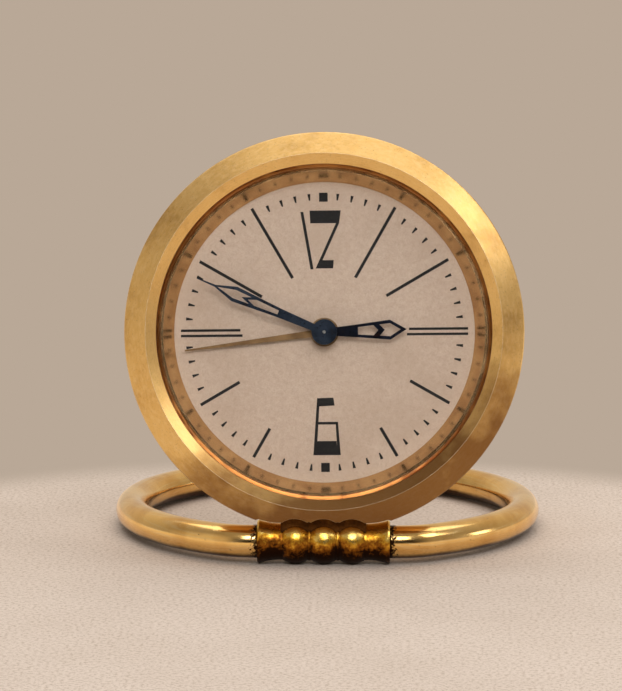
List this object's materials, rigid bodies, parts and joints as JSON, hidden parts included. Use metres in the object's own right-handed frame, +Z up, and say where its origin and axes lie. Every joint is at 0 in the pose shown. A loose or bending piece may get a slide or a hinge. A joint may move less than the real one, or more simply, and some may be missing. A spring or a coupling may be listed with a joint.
{
  "type": "pendulette alarm clock",
  "caption": "Round gilt alarm clock in a ridged bezel, leaning on a round ring stand that folds up round the case about a beaded hinge barrel.",
  "frame": {"origin": "on the table under the middle of the clock's bounding box, with the ring laid out behind and the dial leaning back 10 degrees", "axes": "+X right as the dial is read, +Y to the rear, +Z up"},
  "size_m": [0.0834, 0.0828, 0.0806],
  "materials": {
    "satin_gilt": "satin, brushed round the ring and the bezel, slightly worn",
    "polished_gilt": "polished, tarnished brown in the hollows of the barrel",
    "key_gilt": "polished",
    "crystal_glass": "clear, bevelled edge",
    "dial_paint": "fine matt champagne paint with black printed markers",
    "blued_steel": "blued",
    "movement_brass": "plain",
    "plain_steel": "plain"
  },
  "bodies": {
    "case": {"bezel": "satin_gilt", "crystal": "crystal_glass", "reflector_ring": "polished_gilt", "dial": "dial_paint", "case_drum": "satin_gilt", "back_cover": "satin_gilt", "hinge_barrel": "polished_gilt", "barrel_saddle": "polished_gilt", "saddle_screws": "plain_steel", "dial_rest_ring": "movement_brass", "front_plate": "movement_brass", "rear_plate": "movement_brass", "plate_pillars": "movement_brass", "pillar_screws": "plain_steel", "case_spacers": "plain_steel", "case_screws": "plain_steel", "minute_wheel_stud": "plain_steel", "stop_button_spring": "plain_steel"},
    "ring": {"ring_stand": "satin_gilt", "ring_joint_pin": "plain_steel"},
    "minute_hand": {"minute_hand": "blued_steel", "cannon_pinion": "movement_brass", "centre_arbor": "plain_steel", "hand_setting_knob": "key_gilt"},
    "minute_wheel": {"minute_wheel": "movement_brass"},
    "hour_hand": {"hour_hand": "blued_steel", "hour_wheel": "movement_brass"},
    "alarm_hand": {"alarm_hand": "polished_gilt", "alarm_wheel": "movement_brass"},
    "alarm_setting": {"alarm_setting_arbor": "plain_steel", "alarm_setting_knob": "key_gilt"},
    "time_winder": {"time_key": "key_gilt", "time_key_arbor": "plain_steel", "time_ratchet_wheel": "plain_steel"},
    "alarm_winder": {"alarm_key": "key_gilt", "alarm_key_arbor": "plain_steel", "alarm_ratchet_wheel": "plain_steel"},
    "time_barrel": {"time_barrel": "movement_brass", "time_mainspring": "plain_steel"},
    "alarm_barrel": {"alarm_barrel": "movement_brass", "alarm_mainspring": "plain_steel"},
    "centre_wheel": {"centre_wheel": "movement_brass"},
    "third_wheel": {"third_wheel": "movement_brass"},
    "fourth_wheel": {"fourth_wheel": "movement_brass"},
    "escape_wheel": {"escape_wheel": "movement_brass"},
    "pallet_lever": {"pallet_lever": "movement_brass"},
    "balance": {"balance_wheel": "movement_brass", "hairspring": "plain_steel"},
    "regulator": {"regulator_lever": "plain_steel"},
    "alarm_verge_wheel": {"alarm_verge_wheel": "movement_brass"},
    "alarm_hammer": {"alarm_hammer": "plain_steel"},
    "time_click": {"time_click": "plain_steel"},
    "alarm_click": {"alarm_click": "plain_steel"},
    "stop_button": {"alarm_stop_button": "key_gilt"}
  },
  "joints": [
    {"name": "ring_fold", "type": "hinge", "parent": "case", "child": "ring", "pos_m": [0, -0.03527, 0.0042], "axis": [1, 0, 0], "range_deg": [-12, 80.8]},
    {"name": "minute_hand_turn", "type": "hinge", "parent": "case", "child": "minute_hand", "pos_m": [0, -0.02913, 0.04307], "axis": [0, -0.9848, 0.1736], "continuous": true},
    {"name": "minute_wheel_turn", "type": "hinge", "parent": "case", "child": "minute_wheel", "pos_m": [-0.00544, -0.02957, 0.04058], "axis": [0, -0.9848, 0.1736], "continuous": true},
    {"name": "hour_hand_turn", "type": "hinge", "parent": "case", "child": "hour_hand", "pos_m": [0, -0.02913, 0.04307], "axis": [0, -0.9848, 0.1736], "continuous": true},
    {"name": "alarm_hand_turn", "type": "hinge", "parent": "case", "child": "alarm_hand", "pos_m": [0, -0.02913, 0.04307], "axis": [0, -0.9848, 0.1736], "continuous": true},
    {"name": "alarm_setting_turn", "type": "hinge", "parent": "case", "child": "alarm_setting", "pos_m": [0, -0.02731, 0.05341], "axis": [0, -0.9848, 0.1736], "continuous": true},
    {"name": "time_key_turn", "type": "hinge", "parent": "case", "child": "time_winder", "pos_m": [-0.01238, -0.02859, 0.04611], "axis": [0, -0.9848, 0.1736], "range_deg": [0, 1800]},
    {"name": "alarm_key_turn", "type": "hinge", "parent": "case", "child": "alarm_winder", "pos_m": [0.01261, -0.02858, 0.04617], "axis": [0, -0.9848, 0.1736], "range_deg": [0, 1440]},
    {"name": "fourth_wheel_turn", "type": "hinge", "parent": "case", "child": "fourth_wheel", "pos_m": [0.00308, -0.03102, 0.03234], "axis": [0, -0.9848, 0.1736], "continuous": true},
    {"name": "third_wheel_turn", "type": "hinge", "parent": "case", "child": "third_wheel", "pos_m": [-0.00306, -0.03059, 0.03478], "axis": [0, -0.9848, 0.1736], "continuous": true},
    {"name": "centre_wheel_turn", "type": "hinge", "parent": "case", "child": "centre_wheel", "pos_m": [0, -0.02913, 0.04307], "axis": [0, -0.9848, 0.1736], "continuous": true},
    {"name": "time_barrel_turn", "type": "hinge", "parent": "case", "child": "time_barrel", "pos_m": [-0.01238, -0.02859, 0.04611], "axis": [0, -0.9848, 0.1736], "continuous": true},
    {"name": "escape_wheel_turn", "type": "hinge", "parent": "case", "child": "escape_wheel", "pos_m": [0.00731, -0.03164, 0.02884], "axis": [0, -0.9848, 0.1736], "continuous": true},
    {"name": "balance_swing", "type": "hinge", "parent": "case", "child": "balance", "pos_m": [-0.00393, -0.03255, 0.02368], "axis": [0, -0.9848, 0.1736], "range_deg": [-22, 22], "stiffness_Nm_per_rad": 0.0000022, "deforming": ["hairspring"]},
    {"name": "pallet_lever_swing", "type": "hinge", "parent": "case", "child": "pallet_lever", "pos_m": [0.00287, -0.032, 0.0268], "axis": [0, -0.9848, 0.1736], "range_deg": [-5.2, 5.2]},
    {"name": "regulator_turn", "type": "hinge", "parent": "case", "child": "regulator", "pos_m": [-0.00393, -0.03255, 0.02368], "axis": [0, -0.9848, 0.1736], "range_deg": [-15, 15]},
    {"name": "alarm_verge_wheel_turn", "type": "hinge", "parent": "case", "child": "alarm_verge_wheel", "pos_m": [0.01617, -0.03028, 0.03655], "axis": [0, -0.9848, 0.1736], "continuous": true},
    {"name": "alarm_barrel_turn", "type": "hinge", "parent": "case", "child": "alarm_barrel", "pos_m": [0.01261, -0.02858, 0.04617], "axis": [0, -0.9848, 0.1736], "continuous": true},
    {"name": "alarm_hammer_swing", "type": "hinge", "parent": "case", "child": "alarm_hammer", "pos_m": [0.01529, -0.03136, 0.0304], "axis": [0, -0.9848, 0.1736], "range_deg": [-6, 5]},
    {"name": "time_click_lift", "type": "hinge", "parent": "case", "child": "time_click", "pos_m": [-0.00868, -0.02748, 0.05243], "axis": [0, -0.9848, 0.1736], "range_deg": [-8, 0], "stiffness_Nm_per_rad": 0.0001},
    {"name": "alarm_click_lift", "type": "hinge", "parent": "case", "child": "alarm_click", "pos_m": [0.00891, -0.02747, 0.05248], "axis": [0, -0.9848, 0.1736], "range_deg": [-8, 0], "stiffness_Nm_per_rad": 0.0001},
    {"name": "stop_button_push", "type": "slide", "parent": "case", "child": "stop_button", "axis": [0, -0.9848, 0.1736], "range_m": [0, 0.002], "stiffness_N_per_m": 150, "springref_m": -0.001, "deforming": ["stop_button_spring"]}
  ],
  "couplings": [
    {"joint": "minute_wheel_turn", "follows": "minute_hand_turn", "ratio": -0.33333},
    {"joint": "hour_hand_turn", "follows": "minute_hand_turn", "ratio": 0.083333},
    {"joint": "alarm_setting_turn", "follows": "alarm_hand_turn", "ratio": -4},
    {"joint": "third_wheel_turn", "follows": "fourth_wheel_turn", "ratio": -0.17778},
    {"joint": "centre_wheel_turn", "follows": "fourth_wheel_turn", "ratio": 0.02963},
    {"joint": "time_barrel_turn", "follows": "fourth_wheel_turn", "ratio": -0.0061728},
    {"joint": "escape_wheel_turn", "follows": "fourth_wheel_turn", "ratio": -5.7143},
    {"joint": "pallet_lever_swing", "follows": "balance_swing", "ratio": -0.22953},
    {"joint": "alarm_barrel_turn", "follows": "alarm_verge_wheel_turn", "ratio": -0.18182}
  ]
}
